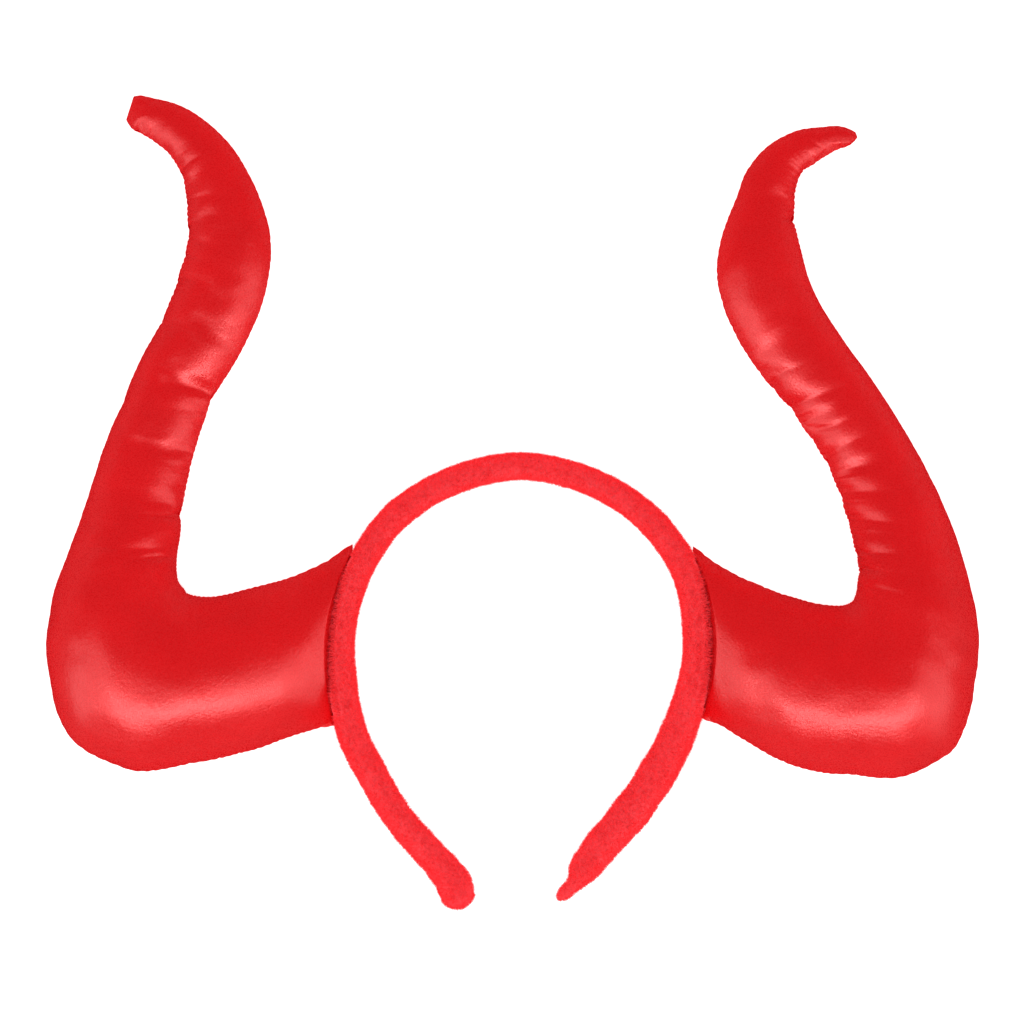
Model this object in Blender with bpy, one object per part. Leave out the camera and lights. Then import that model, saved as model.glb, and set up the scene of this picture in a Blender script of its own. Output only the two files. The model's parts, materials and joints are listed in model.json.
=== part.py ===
"""Devil horns headband: a plush-covered hoop with two stuffed satin horns, lying on its back.

Metres, +Z up. Seen from above, +Y runs to the horn tips and +X to the viewer's right.
The origin is on the surface that it lies on, below the middle of the whole.
"""

from math import ceil, cos, pi, radians, sin

import bmesh
import bpy
import numpy as np

MM = 0.001

# Hoop: a springy strip under padding and a plush cover, open at the neck
HOOP_RADIUS = 64.4 * MM  # middle of the band to the middle of the head, at the crown
BAND_THICKNESS = 10.4 * MM  # through the padding, towards the head
BAND_WIDTH = 24.0 * MM  # front edge to back edge, at the crown
BAND_SQUARENESS = 0.78  # 1 is an oval section, less is fuller at its corners
BAND_END_ROUNDING = 4.0 * MM  # how far the sewn end of the cover domes past its last section
BAND_END_SECTIONS = 3  # sections that each domed end is made of

# Horns: two satin panels sewn round their edge and stuffed
HORN_REACH = 77.0 * MM  # from the root's middle out to the elbow's
HORN_RISE = 190.0 * MM  # from the root's middle up to the left horn's tip
HORN_ROOT_WIDTH = 63.0 * MM  # along the band, where the horn is sewn on
HORN_FULLNESS = 46.0 * MM  # front to back, at the elbow
HORN_SEAM_PINCH = 1.12  # 1 is an oval section, more is sharper at the sewn edge
REST_FLATTENING = 2.4 * MM  # how far the stuffing gives where the elbow lies on the surface
FOLD_DEPTH = 1.9 * MM
FOLD_WIDTH = 3.6 * MM
FOLD_FADE = 0.7  # 1 is a fold that fades evenly over its reach, less keeps its depth for longer
DEEPEST_FOLD = 0.4  # share of the horn's half section that folds may take

SEWN_GAP = 0.3 * MM  # between two pieces that are sewn together

# Fineness of the faceted surfaces
HORN_STATION = 3.6 * MM
HORN_SIDES = 20
BAND_STATION = 5.0 * MM
BAND_SIDES = 16
CREASE_ANGLE = radians(50)  # sharper edges than this are shaded as edges

# The band from its left end over the crown to its right end.
# angle: degrees round the head from the crown, left is negative
# radius, thickness, width: shares of HOOP_RADIUS, BAND_THICKNESS and BAND_WIDTH
# twist: degrees that the outer face turns up towards the viewer
HOOP_COLUMNS = ("angle", "radius", "thickness", "width", "twist")
HOOP_ROWS = (
    (-166.3, 1.449, 1.12, 0.76, 12),
    (-165.4, 1.407, 1.18, 0.77, 14),
    (-163.7, 1.362, 1.14, 0.79, 15),
    (-160.0, 1.305, 1.04, 0.80, 14),
    (-146.5, 1.189, 1.00, 0.83, 10),
    (-131.0, 1.096, 1.05, 0.88, 6),
    (-115.5, 1.051, 1.04, 0.94, 3),
    (-100.5, 1.010, 0.99, 1.00, 0),
    (-86.0, 0.998, 0.96, 1.00, 0),
    (-45.0, 0.999, 0.98, 1.00, 0),
    (0.0, 1.001, 0.94, 1.00, 0),
    (46.0, 1.010, 0.97, 1.00, 0),
    (62.0, 1.018, 0.99, 1.00, 0),
    (86.0, 1.004, 1.06, 1.00, 0),
    (104.0, 1.000, 1.12, 1.00, 3),
    (117.0, 1.011, 1.20, 0.96, 7),
    (133.0, 1.055, 1.26, 0.90, 11),
    (149.0, 1.143, 1.26, 0.84, 12),
    (158.0, 1.217, 1.16, 0.80, 12),
    (164.0, 1.288, 1.04, 0.72, 9),
    (168.0, 1.358, 0.78, 0.60, 6),
    (170.4, 1.401, 0.58, 0.48, 4),
)

# Each horn from its root to its tip, on its own side of the band.
# out, up: the section's middle from the root's middle, as shares of HORN_REACH and HORN_RISE
# lean: degrees from straight out to the line from the outer sewn edge to the inner one
# width, depth: shares of HORN_ROOT_WIDTH and HORN_FULLNESS
HORN_COLUMNS = ("out", "up", "lean", "width", "depth")
LEFT_HORN_ROWS = (
    (0.121, -0.035, 92, 0.930, 0.74),
    (0.355, -0.066, 92, 0.947, 0.89),
    (0.565, -0.084, 96, 0.970, 0.97),
    (0.778, -0.087, 109, 1.064, 1.00),
    (0.927, -0.055, 127, 1.086, 1.00),
    (1.000, 0.025, 147, 0.906, 0.95),
    (0.991, 0.095, 160, 0.772, 0.88),
    (0.944, 0.172, 172, 0.658, 0.79),
    (0.890, 0.258, 185, 0.562, 0.70),
    (0.810, 0.373, 193, 0.508, 0.63),
    (0.710, 0.477, 202, 0.490, 0.59),
    (0.588, 0.566, 204, 0.500, 0.60),
    (0.492, 0.665, 194, 0.522, 0.61),
    (0.457, 0.743, 184, 0.500, 0.58),
    (0.483, 0.815, 172, 0.442, 0.52),
    (0.547, 0.888, 157, 0.354, 0.44),
    (0.660, 0.946, 138, 0.291, 0.34),
    (0.766, 0.975, 130, 0.260, 0.28),
    (0.868, 0.990, 122, 0.220, 0.21),
    (0.925, 1.000, 112, 0.140, 0.12),
)
RIGHT_HORN_ROWS = (
    (0.147, -0.054, 88, 0.918, 0.74),
    (0.404, -0.099, 90, 0.966, 0.90),
    (0.610, -0.112, 95, 0.983, 0.98),
    (0.766, -0.106, 108, 1.044, 1.00),
    (0.884, -0.079, 122, 1.070, 1.00),
    (0.945, 0.000, 139, 0.915, 0.95),
    (0.948, 0.066, 152, 0.790, 0.90),
    (0.919, 0.124, 164, 0.690, 0.82),
    (0.873, 0.196, 177, 0.619, 0.75),
    (0.751, 0.315, 194, 0.523, 0.67),
    (0.595, 0.421, 202, 0.502, 0.63),
    (0.410, 0.521, 209, 0.512, 0.62),
    (0.304, 0.589, 205, 0.524, 0.62),
    (0.239, 0.651, 199, 0.526, 0.62),
    (0.209, 0.709, 191, 0.511, 0.59),
    (0.213, 0.762, 182, 0.435, 0.52),
    (0.239, 0.813, 172, 0.353, 0.44),
    (0.271, 0.860, 160, 0.311, 0.38),
    (0.326, 0.895, 146, 0.263, 0.32),
    (0.416, 0.919, 128, 0.234, 0.26),
    (0.530, 0.936, 120, 0.166, 0.19),
    (0.638, 0.944, 112, 0.103, 0.11),
    (0.671, 0.945, 108, 0.045, 0.06),
)

# Main folds of the satin, each starting at a sewn edge.
# along: share of the horn's length from root to tip
# seam: the sewn edge that it starts at
# reach: how far round the section it runs, as a share of the way to the other edge
# depth, width: shares of FOLD_DEPTH and FOLD_WIDTH
# slant: how far it drifts towards the tip over its reach, as a share of the horn's length
FOLD_COLUMNS = ("along", "seam", "reach", "depth", "width", "slant")
LEFT_FOLDS = (
    (0.380, "inner", 0.55, 0.55, 1.1, 0.004),
    (0.415, "outer", 0.80, 0.75, 1.2, -0.006),
    (0.447, "inner", 1.00, 1.00, 0.9, 0.000),
    (0.510, "inner", 0.65, 0.55, 1.2, 0.012),
    (0.560, "inner", 0.50, 0.40, 1.2, 0.012),
    (0.608, "inner", 0.75, 0.80, 1.1, 0.022),
    (0.655, "outer", 0.45, 0.50, 1.2, 0.006),
    (0.690, "outer", 0.55, 0.75, 1.0, 0.008),
    (0.735, "outer", 0.55, 0.80, 1.0, 0.006),
    (0.772, "outer", 0.50, 0.70, 0.9, 0.004),
    (0.808, "outer", 0.50, 0.80, 0.9, 0.002),
    (0.845, "outer", 0.45, 0.65, 0.9, 0.000),
    (0.885, "outer", 0.55, 0.70, 0.9, -0.004),
)
RIGHT_FOLDS = (
    (0.320, "inner", 0.50, 0.50, 1.1, -0.004),
    (0.352, "inner", 0.65, 0.90, 0.9, -0.004),
    (0.388, "inner", 0.60, 0.75, 1.0, 0.000),
    (0.425, "inner", 0.60, 0.70, 1.1, 0.004),
    (0.470, "inner", 0.60, 0.60, 1.2, 0.008),
    (0.520, "inner", 0.60, 0.85, 1.0, 0.016),
    (0.560, "inner", 0.55, 0.75, 1.0, 0.016),
    (0.600, "inner", 0.60, 0.85, 1.0, 0.018),
    (0.655, "inner", 0.45, 0.50, 1.2, 0.010),
    (0.842, "outer", 0.45, 0.95, 0.7, 0.004),
)

# side: -1 is the viewer's left. root: degrees from the crown to the middle of the horn's root.
# root_share: this horn's share of HORN_ROOT_WIDTH where it is sewn on.
HORN_SETTINGS = {
    "left": {"side": -1, "root": 87.0, "root_share": 1.03, "rows": LEFT_HORN_ROWS, "folds": LEFT_FOLDS},
    "right": {"side": 1, "root": 86.0, "root_share": 0.97, "rows": RIGHT_HORN_ROWS, "folds": RIGHT_FOLDS},
}

SATIN_RED = (0.72, 0.010, 0.014, 1.0)
PLUSH_RED = (0.78, 0.018, 0.032, 1.0)


def clear_scene():
    for obj in list(bpy.data.objects):
        bpy.data.objects.remove(obj)


def fabric(name, colour, roughness, sheen):
    material = bpy.data.materials.new(name)
    material.use_nodes = True
    shader = material.node_tree.nodes["Principled BSDF"]
    shader.inputs["Base Color"].default_value = colour
    shader.inputs["Roughness"].default_value = roughness
    shader.inputs["Metallic"].default_value = 0.0
    shader.inputs["Sheen Weight"].default_value = sheen
    return material


def columns_of(rows, names):
    """A table's columns as arrays, by name."""
    return {name: np.array([row[i] for row in rows]) for i, name in enumerate(names)}


def chord_keys(points):
    """The distance along a run of points, from its first to each."""
    steps = np.linalg.norm(np.diff(points, axis=0), axis=1)
    return np.concatenate([[0.0], np.cumsum(steps)])


def smooth(keys, values, at):
    """Values at the keys named by at, on a smooth curve through all the given values."""
    keys = np.asarray(keys, float)
    values = np.asarray(values, float)
    gaps = np.diff(keys).reshape((-1,) + (1,) * (values.ndim - 1))
    slopes = np.diff(values, axis=0) / gaps
    tangents = np.empty_like(values)
    tangents[0], tangents[-1] = slopes[0], slopes[-1]
    tangents[1:-1] = (slopes[:-1] * gaps[1:] + slopes[1:] * gaps[:-1]) / (gaps[1:] + gaps[:-1])
    found = np.clip(np.searchsorted(keys, at, side="right") - 1, 0, len(keys) - 2)
    gap = gaps[found]
    t = (np.asarray(at) - keys[found]).reshape(gap.shape) / gap
    return (
        (2 * t**3 - 3 * t**2 + 1) * values[found]
        + (t**3 - 2 * t**2 + t) * gap * tangents[found]
        + (3 * t**2 - 2 * t**3) * values[found + 1]
        + (t**3 - t**2) * gap * tangents[found + 1]
    )


def power(value, exponent):
    """A signed power, for sections between an oval and a box."""
    return np.sign(value) * np.abs(value) ** exponent


class Hoop:
    """The band's middle line, in the plane that is level when the headband lies on its back."""

    height = BAND_WIDTH / 2

    def __init__(self):
        rows = columns_of(HOOP_ROWS, HOOP_COLUMNS)
        turn = np.radians(rows["angle"])
        radius = rows["radius"] * HOOP_RADIUS
        self.points = np.stack([np.sin(turn) * radius, np.cos(turn) * radius], axis=1)
        self.keys = chord_keys(self.points)
        self.length = self.keys[-1]
        self.thickness = rows["thickness"] * BAND_THICKNESS
        self.width = rows["width"] * BAND_WIDTH
        self.twist = np.radians(rows["twist"])
        self.angles = rows["angle"]

    def column(self, values, at):
        return smooth(self.keys, values, np.atleast_1d(at))

    def middle(self, at):
        return self.column(self.points, at)

    def along(self, at):
        """Unit vectors along the band, towards its right end."""
        step = self.length * 1e-4
        before = np.maximum(np.atleast_1d(at) - step, 0)
        after = np.minimum(np.atleast_1d(at) + step, self.length)
        run = self.middle(after) - self.middle(before)
        return run / np.linalg.norm(run, axis=1)[:, None]

    def outward(self, at):
        run = self.along(at)
        return np.stack([-run[:, 1], run[:, 0]], axis=1)

    def key_at_angle(self, angle):
        return float(np.interp(angle, self.angles, self.keys))

    def off_face(self, at, clearance, height):
        """Points that far off the band's outer face, at that height above the surface it lies on."""
        away = self.column(self.thickness, at) / 2 + clearance
        flat = self.middle(at) + self.outward(at) * away[:, None]
        return np.column_stack([flat, np.broadcast_to(height, len(flat))])


def mesh_object(name, rings, material, collection, cap):
    """A closed object whose skin runs from ring to ring, with cap closing its first and last ring."""
    shape = bmesh.new()
    skin = [[shape.verts.new(point) for point in ring] for ring in rings]
    count = len(skin[0])
    for near, far in zip(skin, skin[1:]):
        for i in range(count):
            j = (i + 1) % count
            shape.faces.new((near[i], near[j], far[j], far[i]))
    for ring in (skin[0], skin[-1]):
        cap(shape, ring)
    bmesh.ops.recalc_face_normals(shape, faces=shape.faces)
    mesh = bpy.data.meshes.new(name)
    shape.to_mesh(mesh)
    shape.free()
    mesh.shade_smooth()
    mesh.set_sharp_from_angle(angle=CREASE_ANGLE)
    mesh.materials.append(material)
    obj = bpy.data.objects.new(name, mesh)
    collection.objects.link(obj)
    return obj


def flat_cap(shape, ring):
    shape.faces.new(ring)


def strip_cap(shape, ring):
    """Closes a ring with strips from its front half to its back half, so the end can be a curved face."""
    count = len(ring)
    for i in range(count // 2):
        corners = [ring[i], ring[i + 1], ring[(count - i - 1) % count], ring[(count - i) % count]]
        kept = [v for k, v in enumerate(corners) if v not in corners[:k]]
        shape.faces.new(kept)


def band_ring(hoop, at, scale):
    """One section of the band: a full oval with flat sides, twisted about the band's own line."""
    turn = (np.arange(BAND_SIDES) + 0.5) * 2 * pi / BAND_SIDES
    across, up = power(np.cos(turn), BAND_SQUARENESS), power(np.sin(turn), BAND_SQUARENESS)
    across *= hoop.column(hoop.thickness, at) / 2 * scale / across.max()
    up *= hoop.column(hoop.width, at) / 2 * scale / up.max()
    twist = float(hoop.column(hoop.twist, at)[0])
    outward = hoop.outward(at)[0]
    side = across * cos(twist) - up * sin(twist)
    rise = across * sin(twist) + up * cos(twist)
    flat = hoop.middle(at)[0] + side[:, None] * outward
    return np.column_stack([flat, np.maximum(hoop.height + rise, 0)])


def domed_end(hoop, at, sign):
    """Sections that close one end of the band's cover, from the band outwards. sign is 1 at the right end."""
    rings = []
    for step in range(1, BAND_END_SECTIONS + 1):
        dome = pi / 2 * step / (BAND_END_SECTIONS + 0.5)
        ring = band_ring(hoop, at, cos(dome))
        ring[:, :2] += sign * BAND_END_ROUNDING * sin(dome) * hoop.along(at)[0]
        rings.append(ring)
    return rings


def make_headband(hoop, material, collection):
    stations = np.linspace(0, hoop.length, ceil(hoop.length / BAND_STATION) + 1)
    rings = domed_end(hoop, 0.0, -1)[::-1]
    rings += [band_ring(hoop, at, 1.0) for at in stations]
    rings += domed_end(hoop, hoop.length, 1)
    return mesh_object("headband", rings, material, collection, flat_cap)


def root_stations(hoop, setting, shares):
    """Keys on the hoop for shares from -1, the lower end of a horn's root, to 1, its upper end."""
    side = setting["side"]
    middle = hoop.key_at_angle(side * setting["root"])
    half = HORN_ROOT_WIDTH * setting["root_share"] / 2
    outer_radius = HOOP_RADIUS + BAND_THICKNESS / 2
    return middle - side * np.asarray(shares) * half * HOOP_RADIUS / outer_radius


def fold_depths(folds, along, around, length):
    """How far the folds draw in the satin. around runs from 0 at the inner sewn edge to 1 at the outer."""
    drawn = np.zeros(np.broadcast_shapes(along.shape, around.shape))
    table = columns_of(folds, FOLD_COLUMNS)
    for i, seam in enumerate(table["seam"]):
        away = around if seam == "inner" else 1 - around
        reach = table["reach"][i]
        line = table["along"][i] + table["slant"][i] * away / reach
        spread = FOLD_WIDTH * table["width"][i] / length
        fade = np.clip(1 - away / reach, 0, 1) ** FOLD_FADE
        drawn += table["depth"][i] * FOLD_DEPTH * fade * np.exp(-(((along - line) / spread) ** 2))
    return drawn


def make_horn(name, hoop, setting, material, collection):
    """Lofts a horn from its root on the band to its tip, then draws in its folds and rests it flat."""
    side = setting["side"]
    turn = np.arange(HORN_SIDES) * 2 * pi / HORN_SIDES
    to_inner, to_front = np.cos(turn), power(np.sin(turn), HORN_SEAM_PINCH)
    root_keys = root_stations(hoop, setting, to_inner)
    root_ring = hoop.off_face(root_keys, SEWN_GAP, hoop.height + to_front * BAND_WIDTH / 2)
    root_middle = hoop.off_face(root_stations(hoop, setting, 0.0), SEWN_GAP, hoop.height)[0]

    rings, middles = [root_ring], [root_middle]
    for out, up, lean, width, depth in setting["rows"]:
        thick = depth * HORN_FULLNESS
        height = thick / 2 - REST_FLATTENING * depth
        middle = root_middle[:2] + np.array([side * out * HORN_REACH, up * HORN_RISE])
        towards = np.array([side * cos(radians(lean)), sin(radians(lean))])
        half = width * HORN_ROOT_WIDTH / 2
        flat = middle + (to_inner * half)[:, None] * towards
        rings.append(np.column_stack([flat, height + to_front * thick / 2]))
        middles.append(np.append(middle, height))
    rings, middles = np.array(rings), np.array(middles)

    keys = chord_keys(middles[:, :2])
    length = keys[-1]
    stations = np.linspace(0, length, ceil(length / HORN_STATION) + 1)
    skin = smooth(keys, rings, stations)
    spine = smooth(keys, middles, stations)[:, None, :]
    around = 1 - np.abs(turn - pi) / pi
    drawn = fold_depths(setting["folds"], (stations / length)[:, None], around[None, :], length)
    half_section = np.linalg.norm(skin - spine, axis=2)
    skin = spine + (skin - spine) * (1 - np.minimum(drawn / half_section, DEEPEST_FOLD))[:, :, None]
    skin[:, :, 2] = np.maximum(skin[:, :, 2], 0)
    return mesh_object(name, skin, material, collection, strip_cap)


def set_on_origin(parts):
    """Moves the whole so that its box's bottom middle is the origin."""
    corners = np.array([v.co for part in parts for v in part.data.vertices])
    low, high = corners.min(axis=0), corners.max(axis=0)
    shift = (-(low[0] + high[0]) / 2, -(low[1] + high[1]) / 2, -low[2])
    for part in parts:
        part.location = shift


def main():
    clear_scene()
    collection = bpy.data.collections.new("devil_horns_headband")
    bpy.context.scene.collection.children.link(collection)
    satin = fabric("red_satin", SATIN_RED, 0.32, 0.3)
    plush = fabric("red_plush", PLUSH_RED, 0.85, 0.8)
    hoop = Hoop()
    parts = [make_headband(hoop, plush, collection)]
    for label, setting in HORN_SETTINGS.items():
        parts.append(make_horn(f"horn_{label}", hoop, setting, satin, collection))
    set_on_origin(parts)


main()
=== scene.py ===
"""Looks for the devil horns headband: stuffed red satin horns on a plush hoop, lying on a white table.

Metres, +Z up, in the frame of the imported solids. The camera looks straight down on the table.
"""

import json
from collections import namedtuple
from math import ceil, cos, pi, radians, sin

import bpy
import numpy as np
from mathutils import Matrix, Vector

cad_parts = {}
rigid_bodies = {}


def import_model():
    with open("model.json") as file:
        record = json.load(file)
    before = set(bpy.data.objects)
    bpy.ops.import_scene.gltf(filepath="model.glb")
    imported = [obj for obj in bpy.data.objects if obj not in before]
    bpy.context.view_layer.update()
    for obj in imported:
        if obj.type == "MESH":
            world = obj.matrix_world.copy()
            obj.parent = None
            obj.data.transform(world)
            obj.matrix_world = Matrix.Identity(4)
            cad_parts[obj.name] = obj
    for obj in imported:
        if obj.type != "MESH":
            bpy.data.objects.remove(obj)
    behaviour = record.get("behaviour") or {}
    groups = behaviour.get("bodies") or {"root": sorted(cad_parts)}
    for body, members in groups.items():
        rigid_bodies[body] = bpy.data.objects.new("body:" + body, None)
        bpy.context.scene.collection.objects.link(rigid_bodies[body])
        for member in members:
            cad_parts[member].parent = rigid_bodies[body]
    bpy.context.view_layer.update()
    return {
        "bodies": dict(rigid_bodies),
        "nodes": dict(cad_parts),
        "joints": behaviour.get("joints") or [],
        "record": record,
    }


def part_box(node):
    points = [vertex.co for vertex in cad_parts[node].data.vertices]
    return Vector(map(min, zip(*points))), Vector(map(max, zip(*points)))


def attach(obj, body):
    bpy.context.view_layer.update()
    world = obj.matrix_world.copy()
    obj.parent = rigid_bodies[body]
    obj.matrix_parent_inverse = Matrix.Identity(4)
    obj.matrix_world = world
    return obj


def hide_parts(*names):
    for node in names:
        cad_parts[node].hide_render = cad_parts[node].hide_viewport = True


MM = 0.001

# Sizes shared with the solids
HOOP_RADIUS = 64.4 * MM
BAND_THICKNESS = 10.4 * MM
BAND_WIDTH = 24.0 * MM
BAND_SQUARENESS = 0.78
BAND_END_ROUNDING = 4.0 * MM
HORN_REACH = 77.0 * MM
HORN_RISE = 190.0 * MM
HORN_ROOT_WIDTH = 63.0 * MM
HORN_FULLNESS = 46.0 * MM
REST_FLATTENING = 2.4 * MM
SEWN_GAP = 0.3 * MM

# Satin: folds, sewn edges and the give of the stuffing
SEAM_PINCH = 1.55  # over 1 gives the two panels a sharper sewn edge than the solid has
UPRIGHT_SLACK = 0.80  # past the elbow the satin lies this much flatter than the solid
UPRIGHT_TILT = radians(8)  # and its inner sewn edge lies a little higher than its outer one
ELBOW_RISE = (0.05, 0.35)  # shares of HORN_RISE between which the satin takes on both
FOLD_DEPTH = 1.0 * MM
FOLD_WIDTH = 3.0 * MM
FOLD_OVERRUN = 0.2  # how far a fold from a sewn edge runs back past it, as a share of the fold's length
FOLD_FADE = 0.8  # less than 1 keeps a fold deep for more of its length
VALLEY_ROUNDING = 0.05  # how round a fold's bottom is
VALLEY_REACH = 0.22  # makes up the depth that the rounding takes away
BACK_SHARE = 0.7  # how deep a fold is on the back, as a share of the front
BACK_SHIFT = 0.006  # how far along the horn it lies from its front half
SEAM_GROOVE = 0.45 * MM
SEAM_GROOVE_WIDTH = 0.7 * MM
STITCH_PITCH = 2.55 * MM
STITCH_UNEVENNESS = 0.25  # share by which the pitch drifts
STITCH_DRIFT = 14 * MM  # over about this length
STITCH_PUCKER = 0.26 * MM
PUCKER_UNEVENNESS = 0.5
PUCKER_DRIFT = 9 * MM
PUCKER_REACH = 1.5 * MM
LEAST_PUCKER_REACH = 0.5  # share of that reach that even the weakest pucker has
PUCKER_AT_SEAM = 0.10  # how deep a pucker is right at the seam, as a share of its depth beside it
LUMP_DEPTH = 0.38 * MM
LUMP_SIZE = 42 * MM
SMALL_LUMP_SIZE = 17 * MM
SMALL_LUMP_SHARE = 0.45
SMALL_LUMP_CROWDING = (1, 1.6, 1)  # the small lumps lie closer along the uprights
LEAST_LUMP_SHARE = 0.25  # of the depth, where the horn is thinnest
LUMP_START = 8 * MM  # the lumps set in over this length from the band
DEEPEST_DIP = 0.5  # of the way to the horn's middle line
ROOT_TUCK = 0.10 * MM
ROOT_TUCK_WIDTH = 0.5 * MM
ROOT_PROUD = 1.24  # how much higher the satin stands at the root than the band, in front
ROOT_CORNER = 1.6 * MM
ROOT_CORNER_WIDTH = 3.6 * MM

# The satin panels are settled as cloth, at a larger scale because the solver is made for garments
CLOTH_STATION = 1.8 * MM
CLOTH_SIDES = 58
CLOTH_SCALE = 12.0
CLOTH_FRAMES = 22
CLOTH_PRESSURE = 4.0
CLOTH_QUALITY = 6
CLOTH_MASS = 0.2
CLOTH_STIFFNESS = 20
CLOTH_SHEAR = 8
CLOTH_BENDING = 0.05
CLOTH_SPARE = 0.05  # how much longer the panels are than the solid's skin
SEAM_SHRINK = 0.08  # and how much shorter their seams
CLOTH_HOLD = 0.05
SEAM_HOLD = 0.5
SEAM_SPREAD = (1.0, 0.6, 0.25)  # how much of the shortening a seam and the threads next to it take
SWELLING_BLUR = (30, 10)  # rounds of averaging, along and round, that tell creases from general swelling
CREASE_BLUR = (1, 4)  # and that soften the creases
CREASE_LIMIT = 1.6 * MM
CREASE_START = 0.03  # share of the horn's length over which the creases set in
CREASE_AT_SEAM = 0.35  # the creases' share right at a seam, which its stitches hold
CREASE_SEAM_REACH = 0.2  # how far that hold reaches, as a share of a panel's width
CREASE_BLEND = (0.2, 0.8)  # where the inner edge's strength gives way to the outer edge's

# Fineness of the meshes
HORN_STATION = 0.56 * MM
HORN_SIDES = 112
SEAM_CROWDING = 0.36  # 0 spaces the sides evenly round the section, more crowds them at the sewn edges
BAND_STATION = 0.9 * MM
BAND_SIDES = 60
DOME_RINGS = 7  # in the rounding at each end of the band

# Plush pile
PILE_STRANDS = 190000
PILE_LENGTH = 1.5 * MM
PILE_STRAND_WIDTH = 0.26 * MM
PILE_LENGTHS = (0.65, 1.15)  # the shortest and the longest strand, as shares of PILE_LENGTH
PILE_SINK = 0.85 * MM  # how far the cloth under the pile lies inside the band's solid
ROOT_PADDING = 0.8  # how much of that is made up where a horn is sewn on, so that no gap shows
ROOT_PADDING_BLUR = (6, 2)
PILE_SEED = 7
PILE_CLEAR = 0.3 * MM  # no strand starts lower than this
PILE_TIP_CLEAR = 0.02 * MM
STRAND_ROOT = 0.15 * MM  # how deep in the cloth a strand starts
PILE_SCATTER = 0.5  # how much each strand leans its own way
COMB_WEIGHT = 0.25  # and how much patches of strands lean together
COMB_SIZE = 7 * MM
COMB_SEEDS = (31, 32, 33)
LENGTH_PATCHES = 0.2  # share by which patches of strands are longer or shorter
LENGTH_PATCH_SIZE = 4 * MM
LENGTH_PATCH_SEED = 41
PATCH_WAVES = 16
BORDER_SWEEP = 1.2  # how strongly the pile beside a horn's root leans out over the satin
BORDER_LIFT = 0.7  # how strongly it leans up
BORDER_LENGTH = 1.7  # and how much longer it is than the rest
BORDER_FACING = 0.15  # how much the cloth faces the horn there, from 0 to 1
ROOT_FACING = 0.5  # and where the horn's root hides it
ROOT_COVER = 0.97  # how much of its length the root hides
BORDER_WIDTH = 2.5 * MM  # of the strip between the band's edge and what the root hides

# Unevenness of the cloth under the pile
BUMP_COLUMNS = ("height", "size", "seed", "waves")
BAND_BUMPS = (
    (0.06 * MM, 3.4 * MM, 3, 40),
    (0.14 * MM, 16 * MM, 5, 28),
)

# Camera and the photo's scale
PHOTO_SCALE = 0.36 * MM  # of the object for each pixel of a 1024 pixel frame
PHOTO_SIZE = 1024
PHOTO_MIDDLE = (-0.2 * MM, -3.6 * MM)
CAMERA_HEIGHT = 2.6
SHARP_HEIGHT = 14.0 * MM  # height above the table at which the scale holds

# Softboxes. azimuth: degrees round the table from the side nearest the hoop's open ends. tilt: degrees from
# straight overhead. away: metres from the middle of the table. size: across and up, in metres.
# gloss_only: whether it only shows as a highlight.
Softbox = namedtuple("Softbox", ("name", "azimuth", "tilt", "away", "size", "radiance", "gloss_only"))
SOFTBOXES = (
    ("front", 0, 46, 1.15, (1.7, 0.52), 12.0, True),
    ("front_upper", 0, 24, 1.15, (1.5, 0.36), 2.0, True),
    ("fill", 0, 30, 1.2, (1.2, 0.8), 0.7, False),
    ("front_left", -66, 62, 1.25, (0.9, 1.3), 3.6, True),
    ("front_right", 66, 62, 1.25, (0.9, 1.3), 3.6, True),
)

WORLD_LIGHT = 0.84  # from all round, and not mirrored in the satin

HOOP_COLUMNS = ("angle", "radius", "thickness", "width", "twist")
HOOP_ROWS = (
    (-166.3, 1.449, 1.12, 0.76, 12),
    (-165.4, 1.407, 1.18, 0.77, 14),
    (-163.7, 1.362, 1.14, 0.79, 15),
    (-160.0, 1.305, 1.04, 0.80, 14),
    (-146.5, 1.189, 1.00, 0.83, 10),
    (-131.0, 1.096, 1.05, 0.88, 6),
    (-115.5, 1.051, 1.04, 0.94, 3),
    (-100.5, 1.010, 0.99, 1.00, 0),
    (-86.0, 0.998, 0.96, 1.00, 0),
    (-45.0, 0.999, 0.98, 1.00, 0),
    (0.0, 1.001, 0.94, 1.00, 0),
    (46.0, 1.010, 0.97, 1.00, 0),
    (62.0, 1.018, 0.99, 1.00, 0),
    (86.0, 1.004, 1.06, 1.00, 0),
    (104.0, 1.000, 1.12, 1.00, 3),
    (117.0, 1.011, 1.20, 0.96, 7),
    (133.0, 1.055, 1.26, 0.90, 11),
    (149.0, 1.143, 1.26, 0.84, 12),
    (158.0, 1.217, 1.16, 0.80, 12),
    (161.0, 1.256, 1.10, 0.76, 10),
    (163.6, 1.298, 1.06, 0.73, 9),
    (164.9, 1.325, 0.94, 0.68, 8),
    (165.6, 1.341, 0.76, 0.64, 7),
    (166.8, 1.364, 0.62, 0.58, 6),
    (168.2, 1.386, 0.52, 0.50, 4),
    (169.4, 1.404, 0.50, 0.46, 3),
)

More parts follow.
